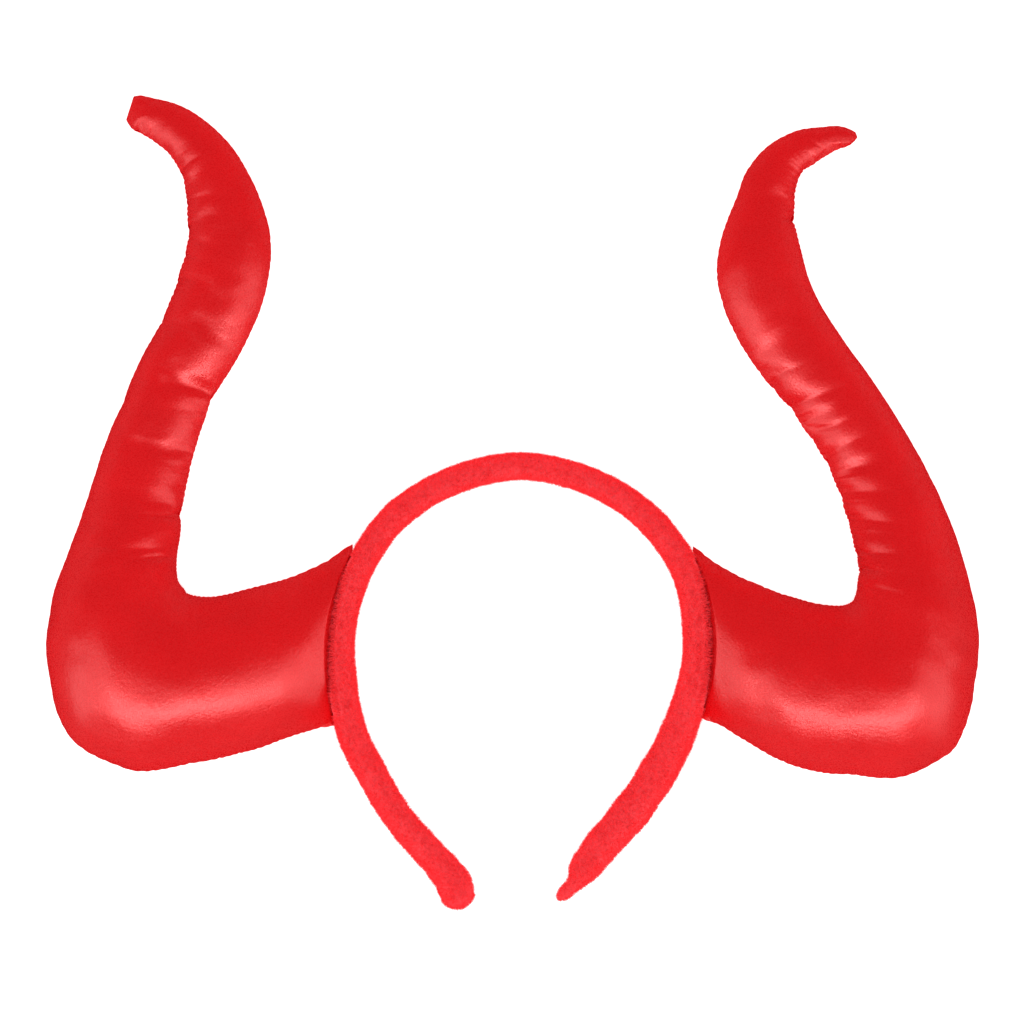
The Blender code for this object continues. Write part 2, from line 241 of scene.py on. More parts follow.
# Each horn's sections from its root to its tip. out, up: the section's middle from the root's middle, as
# shares of HORN_REACH and HORN_RISE. lean: degrees from straight out to the line from the outer
# sewn edge to the inner one. width, depth: shares of HORN_ROOT_WIDTH and HORN_FULLNESS.
HornRow = namedtuple("HornRow", ("out", "up", "lean", "width", "depth"))
LEFT_HORN_ROWS = (
    (0.121, -0.035, 92, 0.930, 0.74),
    (0.355, -0.066, 92, 0.947, 0.89),
    (0.565, -0.084, 96, 0.970, 0.97),
    (0.778, -0.087, 109, 1.064, 1.00),
    (0.920, -0.053, 127, 1.070, 1.00),
    (0.994, 0.025, 147, 0.894, 0.95),
    (0.991, 0.095, 160, 0.772, 0.88),
    (0.944, 0.172, 172, 0.658, 0.79),
    (0.890, 0.258, 185, 0.562, 0.70),
    (0.810, 0.373, 193, 0.508, 0.63),
    (0.710, 0.477, 202, 0.490, 0.59),
    (0.588, 0.566, 204, 0.500, 0.60),
    (0.492, 0.665, 194, 0.522, 0.61),
    (0.457, 0.743, 184, 0.500, 0.58),
    (0.483, 0.815, 172, 0.442, 0.52),
    (0.547, 0.888, 157, 0.354, 0.44),
    (0.660, 0.946, 138, 0.291, 0.34),
    (0.766, 0.975, 130, 0.260, 0.28),
    (0.868, 0.990, 122, 0.220, 0.21),
    (0.901, 0.996, 112, 0.194, 0.16),
    (0.926, 1.001, 109, 0.151, 0.10),
)
RIGHT_HORN_ROWS = (
    (0.147, -0.054, 88, 0.918, 0.74),
    (0.404, -0.099, 90, 0.966, 0.90),
    (0.610, -0.112, 95, 0.983, 0.98),
    (0.766, -0.106, 108, 1.044, 1.00),
    (0.878, -0.077, 122, 1.056, 1.00),
    (0.939, 0.000, 139, 0.903, 0.95),
    (0.948, 0.066, 152, 0.790, 0.90),
    (0.919, 0.124, 164, 0.690, 0.82),
    (0.873, 0.196, 177, 0.619, 0.75),
    (0.751, 0.315, 194, 0.523, 0.67),
    (0.595, 0.421, 202, 0.502, 0.63),
    (0.410, 0.521, 209, 0.512, 0.62),
    (0.304, 0.589, 205, 0.524, 0.62),
    (0.239, 0.651, 199, 0.526, 0.62),
    (0.209, 0.709, 191, 0.511, 0.59),
    (0.213, 0.762, 182, 0.435, 0.52),
    (0.239, 0.813, 172, 0.353, 0.44),
    (0.271, 0.860, 160, 0.311, 0.38),
    (0.326, 0.895, 146, 0.263, 0.32),
    (0.416, 0.919, 128, 0.234, 0.26),
    (0.530, 0.936, 120, 0.166, 0.19),
    (0.638, 0.944, 112, 0.103, 0.11),
    (0.671, 0.945, 108, 0.045, 0.06),
)

# Folds, each a line on the front panel that the satin dips to.
# along, around and to_along, to_around: its ends, as shares of the horn's length from the root
# and of the way from the inner sewn edge to the outer one
# bow: how far its middle bends towards the tip, as a share of the horn's length
# depth: share of FOLD_DEPTH, less than zero for a ridge
# above, below: shares of FOLD_WIDTH, on the side of the tip and of the root
Fold = namedtuple("Fold", ("along", "around", "to_along", "to_around", "bow", "depth", "above", "below"))
LEFT_FOLDS = (
    (0.358, 0.08, 0.377, 0.48, 0.004, 0.75, 0.55, 0.55),
    (0.380, 0.20, 0.410, 0.86, 0.002, 1.25, 0.95, 0.80),
    (0.422, 0.50, 0.437, 1.00, -0.004, 1.05, 0.80, 0.80),
    (0.438, 0.00, 0.436, 0.52, -0.002, 1.60, 1.20, 0.70),
    (0.461, 0.02, 0.464, 0.72, 0.002, 0.55, 1.20, 1.00),
    (0.494, 0.10, 0.505, 0.66, 0.006, 0.45, 1.30, 1.10),
    (0.530, 0.04, 0.536, 0.50, 0.004, 0.28, 1.30, 1.20),
    (0.580, 0.04, 0.569, 0.46, 0.002, 0.45, 0.90, 0.80),
    (0.600, 0.00, 0.588, 0.62, 0.010, 1.35, 1.20, 0.90),
    (0.612, 0.46, 0.606, 0.80, 0.002, 0.50, 0.70, 0.80),
    (0.565, 1.00, 0.563, 0.62, 0.000, 0.95, 1.10, 1.10),
    (0.665, 1.00, 0.672, 0.50, 0.000, 0.85, 1.00, 0.90),
    (0.704, 1.00, 0.712, 0.62, 0.002, 0.50, 0.90, 0.80),
    (0.722, 1.00, 0.728, 0.58, 0.002, 0.85, 0.90, 0.80),
    (0.762, 1.00, 0.751, 0.54, 0.002, 0.85, 0.75, 0.70),
    (0.790, 1.00, 0.775, 0.54, 0.000, 0.95, 0.70, 0.60),
    (0.800, 1.00, 0.812, 0.68, 0.002, 0.85, 0.45, 0.50),
    (0.838, 1.00, 0.842, 0.50, 0.002, 0.80, 0.60, 0.60),
    (0.880, 1.00, 0.893, 0.42, 0.006, 0.95, 0.55, 0.55),
    (0.926, 1.00, 0.930, 0.70, 0.000, 0.30, 0.80, 0.80),
    (0.972, 1.00, 0.980, 0.54, 0.002, 0.85, 0.40, 0.36),
    (0.966, 0.84, 0.981, 0.56, 0.000, 0.60, 0.30, 0.40),
    (0.988, 0.76, 0.991, 0.24, 0.002, 0.50, 0.50, 0.50),
)
RIGHT_FOLDS = (
    (0.296, 0.16, 0.332, 0.44, 0.004, 0.55, 0.60, 0.60),
    (0.322, 0.00, 0.366, 0.52, 0.004, 0.80, 0.50, 0.80),
    (0.366, 0.00, 0.395, 0.55, 0.000, 1.15, 1.10, 0.70),
    (0.400, 0.00, 0.410, 0.52, 0.004, 0.50, 0.90, 0.80),
    (0.432, 0.00, 0.420, 0.55, 0.006, 0.80, 0.90, 0.80),
    (0.474, 0.00, 0.458, 0.62, 0.006, 0.90, 1.10, 1.10),
    (0.510, 0.02, 0.505, 0.44, 0.000, 0.45, 0.70, 0.70),
    (0.522, 0.00, 0.539, 0.54, 0.004, 1.15, 0.80, 0.80),
    (0.558, 0.00, 0.552, 0.34, 0.000, 0.55, 0.70, 0.70),
    (0.584, 0.04, 0.566, 0.50, -0.010, 0.90, 0.70, 0.80),
    (0.608, 0.00, 0.600, 0.68, 0.002, 1.35, 1.10, 0.90),
    (0.640, 0.00, 0.652, 0.36, 0.002, 0.80, 0.60, 0.60),
    (0.655, 0.20, 0.646, 0.44, 0.000, 0.40, 0.40, 0.40),
    (0.692, 0.00, 0.690, 0.34, 0.000, 0.20, 1.30, 1.30),
    (0.833, 1.00, 0.834, 0.66, 0.000, 1.70, 0.60, 0.55),
    (0.864, 1.00, 0.866, 0.84, 0.000, 0.45, 0.35, 0.35),
    (0.880, 1.00, 0.884, 0.82, 0.000, 0.45, 0.35, 0.35),
    (0.896, 1.00, 0.900, 0.80, 0.000, 0.40, 0.35, 0.35),
    (0.912, 1.00, 0.938, 0.70, 0.000, 0.60, 0.35, 0.35),
    (0.936, 0.92, 0.958, 0.66, 0.000, 0.55, 0.30, 0.30),
    (0.943, 0.30, 0.953, 0.64, 0.000, 0.55, 0.30, 0.40),
    (0.960, 0.56, 0.996, 0.72, 0.000, -0.50, 0.30, 0.30),
)

# How strongly each sewn edge is gathered between its stitches. Each pair is a share of the horn's
# length and the strength there.
LEFT_PUCKERS = {
    "inner": ((0.0, 1.0), (0.22, 1.0), (0.30, 0.5), (0.40, 0.5), (0.48, 1.0), (0.60, 0.5), (1.0, 0.4)),
    "outer": ((0.0, 1.0), (0.20, 1.0), (0.30, 0.3), (0.62, 0.4), (0.70, 1.0), (0.90, 1.0), (1.0, 0.5)),
}
RIGHT_PUCKERS = {
    "inner": ((0.0, 0.9), (0.20, 0.7), (0.30, 1.2), (0.36, 1.5), (0.50, 1.3), (0.62, 0.8), (1.0, 0.4)),
    "outer": ((0.0, 1.0), (0.22, 0.8), (0.35, 0.2), (0.75, 0.2), (0.84, 1.2), (0.93, 1.0), (1.0, 0.5)),
}

# How much of the simulated creases the satin takes near each sewn edge, in pairs as above.
LEFT_CREASES = {
    "inner": ((0.0, 0.15), (0.30, 0.2), (0.38, 0.8), (0.62, 0.8), (0.70, 0.4), (1.0, 0.3)),
    "outer": ((0.0, 0.1), (0.30, 0.15), (0.40, 0.5), (0.60, 0.5), (0.70, 0.6), (0.92, 0.6), (1.0, 0.3)),
}
RIGHT_CREASES = {
    "inner": ((0.0, 0.15), (0.28, 0.25), (0.34, 0.9), (0.60, 0.9), (0.70, 0.3), (1.0, 0.3)),
    "outer": ((0.0, 0.1), (0.30, 0.12), (0.80, 0.15), (0.85, 0.5), (0.95, 0.5), (1.0, 0.3)),
}

# side: -1 is the viewer's left. root: degrees from the crown to the root's middle.
# root_share: the root's length on the band, as a share of HORN_ROOT_WIDTH.
HORNS = {
    "left": {
        "side": -1,
        "root": 87.0,
        "root_share": 1.03,
        "rows": LEFT_HORN_ROWS,
        "folds": LEFT_FOLDS,
        "puckers": LEFT_PUCKERS,
        "creases": LEFT_CREASES,
        "seed": 11,
    },
    "right": {
        "side": 1,
        "root": 86.0,
        "root_share": 0.97,
        "rows": RIGHT_HORN_ROWS,
        "folds": RIGHT_FOLDS,
        "puckers": RIGHT_PUCKERS,
        "creases": RIGHT_CREASES,
        "seed": 23,
    },
}

# Random fields are sums of waves, whose lengths spread round a lump's size
LUMP_WAVES = 28
WAVE_SPREAD = 1.7
WAVE_PEAK = 1.6
CURVE_WAVES = 8

# Noise in the materials: scale, detail and roughness
SATIN_THREADS = (2200, 1.0, 0.4)
SATIN_GRAIN = (1900, 1.0, 0.5)
SATIN_CLOUDS = (55, 3.0, 0.5)
PLUSH_PATCHES = (1100, 2.0, 0.6)
PLUSH_TUFTS = (1300, 3.0, 0.5)
TABLE_CLOUDS = (9, 2.0, 0.5)
NOISE_RANGE = (0.3, 0.7)  # most of a noise's values lie in it

# Satin
SATIN_RED = (0.76, 0.0025, 0.0055, 1.0)
SATIN_GLOSS_TINT = (1.0, 0.42, 0.42, 1.0)
SATIN_GLOSS = 0.5
SATIN_ROUGHNESS = (0.24, 0.34)
CLOUD_SHADES = (0.96, 1.04)
GRAIN_SHADES = (0.96, 1.05)
THREAD_STRETCH = (0.28, 1.0, 1.0)  # less than 1 draws the threads out along the horn
SATIN_RELIEF = 0.075 * MM

# Plush
PLUSH_RED = (1.0, 0.048, 0.062, 1.0)
PLUSH_SHEEN_TINT = (1.0, 0.16, 0.20, 1.0)
PATCH_SHADES = (0.90, 1.12)
# The plush is drawn in two copies of one colour. The pile's copy is painted lighter, past what cloth can
# reflect: painted light. The cloth under the pile is painted a little darker: painted shade among the
# strands.
BAND_PAINTED_SHADE = 0.95
PILE_PAINTED_LIGHT = 1.08
PLUSH_RELIEF = 0.25 * MM

# Table
TABLE_WHITE = (0.90, 0.90, 0.90, 1.0)
TABLE_SHADES = (0.985, 1.01)
TABLE_GLOW = 0.8  # the table is lit from below too, as for a picture without shadows
TABLE_HALF = 6.0
PURE_WHITE = (1.0, 1.0, 1.0, 1.0)


def columns_of(rows, names):
    """A table's columns as arrays, by name."""
    return {name: np.array([row[i] for row in rows], float) for i, name in enumerate(names)}


def chord_keys(points):
    """The distance along a run of points, from its first to each."""
    steps = np.linalg.norm(np.diff(points, axis=0), axis=1)
    return np.concatenate([[0.0], np.cumsum(steps)])


def smooth(keys, values, at):
    """Values at the keys named by at, on a smooth curve through all the given values."""
    keys = np.asarray(keys, float)
    values = np.asarray(values, float)
    gaps = np.diff(keys).reshape((-1,) + (1,) * (values.ndim - 1))
    slopes = np.diff(values, axis=0) / gaps
    tangents = np.empty_like(values)
    tangents[0], tangents[-1] = slopes[0], slopes[-1]
    tangents[1:-1] = (slopes[:-1] * gaps[1:] + slopes[1:] * gaps[:-1]) / (gaps[1:] + gaps[:-1])
    found = np.clip(np.searchsorted(keys, at, side="right") - 1, 0, len(keys) - 2)
    gap = gaps[found]
    t = (np.asarray(at) - keys[found]).reshape(gap.shape) / gap
    return (
        (2 * t**3 - 3 * t**2 + 1) * values[found]
        + (t**3 - 2 * t**2 + t) * gap * tangents[found]
        + (3 * t**2 - 2 * t**3) * values[found + 1]
        + (t**3 - t**2) * gap * tangents[found + 1]
    )


def power(value, exponent):
    """A signed power, for sections between an oval and a box."""
    return np.sign(value) * np.abs(value) ** exponent


def ease(value, low, high):
    """0 below low, 1 above high, and a soft step between."""
    t = np.clip((value - low) / (high - low), 0, 1)
    return t * t * (3 - 2 * t)


def lumps(points, size, seed, waves=LUMP_WAVES):
    """A smooth random field over points, between about -1 and 1, with lumps of about that size."""
    chance = np.random.default_rng(seed)
    turns = chance.normal(size=(waves, 3)) * (2 * pi / size / WAVE_SPREAD)
    phases = chance.uniform(0, 2 * pi, waves)
    total = np.zeros(points.shape[:-1])
    for turn, phase in zip(turns, phases):
        total += np.sin(points @ turn + phase)
    return total / (waves / 2) ** 0.5 / WAVE_PEAK


def lumps_1d(at, size, chance):
    """A smooth random curve, between about -1 and 1."""
    total = np.zeros(len(at))
    for _ in range(CURVE_WAVES):
        total += np.sin(at * 2 * pi / size * chance.uniform(0.5, 1.5) + chance.uniform(0, 2 * pi))
    return total / (CURVE_WAVES / 2)


class Hoop:
    """The band's middle line, in the plane that is level when the headband lies on its back."""

    height = BAND_WIDTH / 2

    def __init__(self):
        rows = columns_of(HOOP_ROWS, HOOP_COLUMNS)
        turn = np.radians(rows["angle"])
        radius = rows["radius"] * HOOP_RADIUS
        self.points = np.stack([np.sin(turn) * radius, np.cos(turn) * radius], axis=1)
        self.keys = chord_keys(self.points)
        self.length = self.keys[-1]
        self.thickness = rows["thickness"] * BAND_THICKNESS
        self.width = rows["width"] * BAND_WIDTH
        self.twist = np.radians(rows["twist"])
        self.angles = rows["angle"]

    def column(self, values, at):
        return smooth(self.keys, values, np.atleast_1d(at))

    def middle(self, at):
        return self.column(self.points, at)

    def along(self, at):
        """Unit vectors along the band, towards its right end."""
        step = self.length * 1e-4
        before = np.maximum(np.atleast_1d(at) - step, 0)
        after = np.minimum(np.atleast_1d(at) + step, self.length)
        run = self.middle(after) - self.middle(before)
        return run / np.linalg.norm(run, axis=1)[:, None]

    def outward(self, at):
        run = self.along(at)
        return np.stack([-run[:, 1], run[:, 0]], axis=1)

    def key_at_angle(self, angle):
        return float(np.interp(angle, self.angles, self.keys))

    def off_face(self, at, clearance, height):
        """Points that far off the band's outer face, at that height above the table."""
        away = self.column(self.thickness, at) / 2 + clearance
        flat = self.middle(at) + self.outward(at) * away[:, None]
        return np.column_stack([flat, np.broadcast_to(height, len(flat))])


def tube_mesh(name, skin, shift, uv_size=None, flat_start=False):
    """A closed mesh over rings of points, each end closed by one point at its ring's middle.

    flat_start keeps the edge of the first end crisp. uv_size is the tube's length and girth.
    """
    count, sides = skin.shape[:2]
    ends = np.stack([skin[0].mean(axis=0), skin[-1].mean(axis=0)])
    points = np.concatenate([skin.reshape(-1, 3), ends]) + shift
    grid = np.arange(count * sides).reshape(count, sides)
    after = np.roll(grid, -1, axis=1)
    quads = np.stack([grid[:-1], after[:-1], after[1:], grid[1:]], axis=-1).reshape(-1, 4)
    first = [(int(after[0, i]), int(grid[0, i]), count * sides) for i in range(sides)]
    last = [(int(grid[-1, i]), int(after[-1, i]), count * sides + 1) for i in range(sides)]
    mesh = bpy.data.meshes.new(name)
    mesh.from_pydata(points.tolist(), [], quads.tolist() + first + last)
    if mesh_volume(points, quads) < 0:
        mesh.flip_normals()
    mesh.shade_smooth()
    if flat_start:
        for face in mesh.polygons[len(quads) : len(quads) + sides]:
            face.use_smooth = False
    if uv_size is not None:
        add_uv(mesh, count, sides, uv_size)
    return mesh


def mesh_volume(points, quads):
    """Signed volume of a skin of quads, without its end caps: below zero if it is inside out."""
    a, b, c, d = (points[quads[:, i]] for i in range(4))
    return float((np.cross(a, b) * c).sum() + (np.cross(a, c) * d).sum())


def add_uv(mesh, count, sides, size):
    """Texture coordinates in metres: u along the tube and v round it."""
    length, girth = size
    layer = mesh.uv_layers.new(name="cloth")
    loops = np.empty(len(mesh.loops), np.int32)
    mesh.loops.foreach_get("vertex_index", loops)
    inside = np.minimum(loops, count * sides - 1)
    u = inside // sides / (count - 1) * length
    v = inside % sides / sides * girth
    layer.data.foreach_set("uv", np.stack([u, v], axis=1).astype(np.float32).ravel())


def add_object(name, mesh, material):
    mesh.materials.append(material)
    obj = bpy.data.objects.new(name, mesh)
    bpy.context.scene.collection.objects.link(obj)
    return obj


def root_stations(hoop, horn, shares):
    """Keys on the hoop for shares from -1, the lower end of a horn's root, to 1, its upper end."""
    side = horn["side"]
    middle = hoop.key_at_angle(side * horn["root"])
    half = HORN_ROOT_WIDTH * horn["root_share"] / 2
    outer_radius = HOOP_RADIUS + BAND_THICKNESS / 2
    return middle - side * np.asarray(shares) * half * HOOP_RADIUS / outer_radius


def horn_loft(hoop, horn, turn, spacing):
    """The smooth stuffed horn: its skin, its middle line, the share along it of each ring, and its length."""
    side = horn["side"]
    to_inner, to_front = np.cos(turn), power(np.sin(turn), SEAM_PINCH)
    root_keys = root_stations(hoop, horn, to_inner)
    root_height = np.where(to_front > 0, ROOT_PROUD, 1.0) * to_front * BAND_WIDTH / 2
    root_ring = hoop.off_face(root_keys, SEWN_GAP, hoop.height + root_height)
    root_middle = hoop.off_face(root_stations(hoop, horn, 0.0), SEWN_GAP, hoop.height)[0]
    rings, middles = [root_ring], [root_middle]
    for row in horn["rows"]:
        section = HornRow(*row)
        past_elbow = ease(section.up, *ELBOW_RISE)
        depth = section.depth * (1 - (1 - UPRIGHT_SLACK) * past_elbow)
        tilt = UPRIGHT_TILT * past_elbow
        half_thick = depth * HORN_FULLNESS / 2
        half_wide = section.width * HORN_ROOT_WIDTH / 2
        height = half_thick - REST_FLATTENING * depth
        middle = root_middle[:2] + np.array([side * section.out * HORN_REACH, section.up * HORN_RISE])
        towards = np.array([side * cos(radians(section.lean)), sin(radians(section.lean))])
        across = to_inner * half_wide * cos(tilt) - to_front * half_thick * sin(tilt)
        rise = to_inner * half_wide * sin(tilt) + to_front * half_thick * cos(tilt)
        rings.append(np.column_stack([middle + across[:, None] * towards, height + rise]))
        middles.append(np.append(middle, height))
    rings, middles = np.array(rings), np.array(middles)
    keys = chord_keys(middles[:, :2])
    length = keys[-1]
    stations = np.linspace(0, length, ceil(length / spacing) + 1)
    return smooth(keys, rings, stations), smooth(keys, middles, stations), stations / length, length


def girths(skin):
    """How far it is round each ring."""
    return np.linalg.norm(np.diff(np.concatenate([skin, skin[:, :1]], axis=1), axis=1), axis=2).sum(axis=1)


def fold_dips(folds, along, around, length, half_girth):
    """How far the folds draw in each point of the skin. along is a column and around a row of shares."""
    dips = np.zeros(np.broadcast_shapes(along.shape, around.shape))
    for row in folds:
        fold = Fold(*row)
        panel = float(np.interp((fold.along + fold.to_along) / 2, along[:, 0], half_girth))
        reach = ((fold.to_along - fold.along) * length, (fold.to_around - fold.around) * panel)
        size = np.hypot(*reach)
        above, below, bow = fold.above, fold.below, fold.bow
        if fold.to_around < fold.around:
            above, below, bow = below, above, -bow
        x, y = (along - fold.along) * length, (around - fold.around) * panel
        run = (x * reach[0] + y * reach[1]) / size**2
        off = (x * reach[1] - y * reach[0]) / size
        off = off - bow * length * 4 * run * (1 - run)
        if fold.around in (0.0, 1.0):
            place = np.clip(run, 0, 1)
            inside = (run <= 1) & (run >= -FOLD_OVERRUN)
        else:
            place = np.clip(2 * run - 1, -1, 1)
            inside = (run <= 1) & (run >= 0)
        fade = np.where(inside, 1 - place**2, 0)
        width = np.where(off > 0, above, below) * FOLD_WIDTH
        valley = np.exp(VALLEY_REACH - np.sqrt((off / width) ** 2 + VALLEY_ROUNDING))
        dips += fold.depth * FOLD_DEPTH * fade**FOLD_FADE * valley
    return dips


def strength_along(pairs, along):
    """A strength at each share of the horn's length, between the pairs of a table."""
    places, values = zip(*pairs)
    return np.interp(along, places, values)


def stitch_puckers(along, strength, length, seed):
    """Gathers between the stitches, one row of values for each place along the horn."""
    chance = np.random.default_rng(seed)
    pitch = STITCH_PITCH * (1 + STITCH_UNEVENNESS * lumps_1d(along * length, STITCH_DRIFT, chance))
    phase = np.cumsum(np.full(len(along), length / (len(along) - 1)) / pitch)
    uneven = 1 + PUCKER_UNEVENNESS * lumps_1d(along * length, PUCKER_DRIFT, chance)
    return STITCH_PUCKER * strength * uneven * (1 - np.abs(np.cos(pi * phase)))


def outward_normals(skin):
    """Unit normals of a tube's rings of points."""
    around = np.roll(skin, -1, axis=1) - np.roll(skin, 1, axis=1)
    along = np.gradient(skin, axis=0)
    normal = np.cross(around, along)
    normal /= np.linalg.norm(normal, axis=2)[:, :, None]
    outward = ((skin - skin.mean(axis=1, keepdims=True)) * normal).sum()
    return normal * np.sign(outward)


def blurred(values, steps_along, steps_round):
    """Values on a tube's grid, averaged over their neighbours. The grid wraps round the tube."""
    for _ in range(steps_along):
        padded = np.concatenate([values[:1], values, values[-1:]])
        values = (padded[:-2] + 2 * values + padded[2:]) / 4
    for _ in range(steps_round):
        values = (np.roll(values, 1, axis=1) + 2 * values + np.roll(values, -1, axis=1)) / 4
    return values


def mark_panels(obj, grid):
    """Marks how firmly each point is held, and where the seams shorten. Two more points close the ends."""
    hold = obj.vertex_groups.new(name="hold")
    seams = obj.vertex_groups.new(name="seams")
    half = CLOTH_SIDES // 2
    hold.add(grid.ravel().tolist(), CLOTH_HOLD, "REPLACE")
    hold.add(grid[:, [0, half]].ravel().tolist(), SEAM_HOLD, "REPLACE")
    ends = grid[0].tolist() + grid[-1].tolist() + [grid.size, grid.size + 1]
    hold.add(ends, 1.0, "REPLACE")
    for step, share in enumerate(SEAM_SPREAD):
        near = [(side + way * step) % CLOTH_SIDES for side in (0, half) for way in (-1, 1)]
        seams.add(grid[:, near].ravel().tolist(), share, "REPLACE")


def make_cloth(obj):
    """Gives the marked panels the satin's stiffness, spare cloth, short seams and the stuffing's pressure."""
    cloth = obj.modifiers.new("cloth", "CLOTH")
    settings = cloth.settings
    settings.quality = CLOTH_QUALITY
    settings.mass = CLOTH_MASS
    settings.tension_stiffness = CLOTH_STIFFNESS
    settings.compression_stiffness = CLOTH_STIFFNESS
    settings.shear_stiffness = CLOTH_SHEAR
    settings.bending_stiffness = CLOTH_BENDING
    settings.vertex_group_mass = "hold"
    settings.pin_stiffness = 1.0
    settings.vertex_group_shrink = "seams"
    settings.shrink_min = -CLOTH_SPARE
    settings.shrink_max = SEAM_SHRINK
    settings.use_pressure = True
    settings.uniform_pressure_force = CLOTH_PRESSURE
    settings.effector_weights.gravity = 0
    cloth.collision_settings.use_collision = False
    cloth.point_cache.frame_start = 1
    cloth.point_cache.frame_end = CLOTH_FRAMES


def settled_points(obj):
    """The object's points after the simulation's last frame."""
    scene = bpy.context.scene
    for frame in range(1, CLOTH_FRAMES + 1):
        scene.frame_set(frame)
    settled = obj.evaluated_get(bpy.context.evaluated_depsgraph_get()).to_mesh()
    points = np.empty(len(settled.vertices) * 3, np.float32)
    settled.vertices.foreach_get("co", points)
    scene.frame_set(1)
    return points.reshape(-1, 3)


def sewn_satin_creases(hoop, horn, along, turn):
    """Simulates the panels as cloth on shortened seams, and returns how far each place is pushed out."""
    even = np.arange(CLOTH_SIDES) * 2 * pi / CLOTH_SIDES
    skin, _, shares, _ = horn_loft(hoop, horn, even, CLOTH_STATION)
    grid = np.arange(len(shares) * CLOTH_SIDES).reshape(-1, CLOTH_SIDES)
    obj = bpy.data.objects.new("satin_pattern", tube_mesh("satin_pattern", skin * CLOTH_SCALE, np.zeros(3)))
    bpy.context.scene.collection.objects.link(obj)
    mark_panels(obj, grid)
    make_cloth(obj)
    points = settled_points(obj)[: grid.size].reshape(skin.shape) / CLOTH_SCALE
    bpy.data.objects.remove(obj)

    pushed = ((points - skin) * outward_normals(skin)).sum(axis=2)
    creases = blurred(pushed - blurred(pushed, *SWELLING_BLUR), *CREASE_BLUR)
    creases = CREASE_LIMIT * np.tanh(creases / CREASE_LIMIT)
    creases *= ease(shares, 0, CREASE_START)[:, None]
    wrapped = np.concatenate([creases[:, -2:], creases, creases[:, :3]], axis=1).T
    keys = (np.arange(-2, CLOTH_SIDES + 3)) * 2 * pi / CLOTH_SIDES
    return smooth(shares, smooth(keys, wrapped, turn).T, along)


def panel_folds(horn, column, around, front, length, half_girth):
    """The folds' dips on the front panel, and shallower ones of the same folds on the back."""
    dips = np.zeros((len(column), len(around)))
    dips[:, front] = fold_dips(horn["folds"], column, around[None, front], length, half_girth)
    back = fold_dips(horn["folds"], column + BACK_SHIFT, around[None, ~front], length, half_girth)
    dips[:, ~front] = back * BACK_SHARE
    return dips


def seam_dips(gathers, strength, to_seam):
    """The gathers and the groove along one sewn edge, to_seam away from it."""
    reach = (PUCKER_REACH * (LEAST_PUCKER_REACH + strength))[:, None]
    puckers = gathers[:, None] * (PUCKER_AT_SEAM + to_seam / reach) * np.exp(1 - to_seam / reach)
    return puckers + SEAM_GROOVE * np.exp(-((to_seam / SEAM_GROOVE_WIDTH) ** 2))


def crease_share(horn, along, around):
    """How much of the simulated creases each place takes."""
    inner, outer = (strength_along(horn["creases"][edge], along)[:, None] for edge in ("inner", "outer"))
    share = inner + (outer - inner) * ease(around, *CREASE_BLEND)
    off_seam = ease(np.minimum(around, 1 - around), 0, CREASE_SEAM_REACH)
    return share * (CREASE_AT_SEAM + (1 - CREASE_AT_SEAM) * off_seam)


def root_dips(from_root, to_nearest_seam):
    """The satin turned in along its root, and the corners of the root, which stand out a little."""
    tuck = ROOT_TUCK * np.exp(-((from_root / ROOT_TUCK_WIDTH) ** 2))
    across = np.exp(-((to_nearest_seam / ROOT_CORNER_WIDTH) ** 2))
    return tuck - ROOT_CORNER * across * np.exp(-((from_root / ROOT_CORNER_WIDTH) ** 2))


def stuffing_dips(skin, from_root, half_girth, seed):
    """Large and small lumps of the stuffing, shallower where the horn is thin."""
    small = lumps(skin * SMALL_LUMP_CROWDING, SMALL_LUMP_SIZE, seed + 1)
    share = np.clip(half_girth / half_girth.max(), LEAST_LUMP_SHARE, 1)[:, None]
    field = lumps(skin, LUMP_SIZE, seed) + SMALL_LUMP_SHARE * small
    return LUMP_DEPTH * field * share * np.clip(from_root / LUMP_START, 0, 1)


def make_horn(name, node, hoop, horn, shift, material):
    """One stuffed satin horn: the loft, then folds, gathered seams, lumps of stuffing and the root's tuck."""
    even = np.arange(HORN_SIDES) * 2 * pi / HORN_SIDES
    turn = even - SEAM_CROWDING * np.sin(2 * even)
    skin, middles, along, length = horn_loft(hoop, horn, turn, HORN_STATION)
    half_girth = girths(skin) / 2
    around = 1 - np.abs(turn - pi) / pi
    column, seed = along[:, None], horn["seed"]
    from_root = column * length

    dips = panel_folds(horn, column, around, turn < pi, length, half_girth)
    to_seam = {
        "inner": around[None, :] * half_girth[:, None],
        "outer": (1 - around)[None, :] * half_girth[:, None],
    }
    for number, edge in enumerate(("inner", "outer")):
        strength = strength_along(horn["puckers"][edge], along)
        gathers = stitch_puckers(along, strength, length, seed + number)
        dips += seam_dips(gathers, strength, to_seam[edge])
    dips -= sewn_satin_creases(hoop, horn, along, turn) * crease_share(horn, along, around)
    dips += root_dips(from_root, np.minimum(to_seam["inner"], to_seam["outer"]))
    dips += stuffing_dips(skin, from_root, half_girth, seed)

    half_section = np.linalg.norm(skin - middles[:, None, :], axis=2)
    skin = skin - outward_normals(skin) * np.minimum(dips, half_section * DEEPEST_DIP)[:, :, None]
    skin[:, :, 2] = np.maximum(skin[:, :, 2], 0)
    mesh = tube_mesh(name, skin, shift, (length, float(half_girth.mean() * 2)), flat_start=True)
    obj = add_object(name, mesh, material)
    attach(obj, "root")
    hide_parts(node)
    return obj


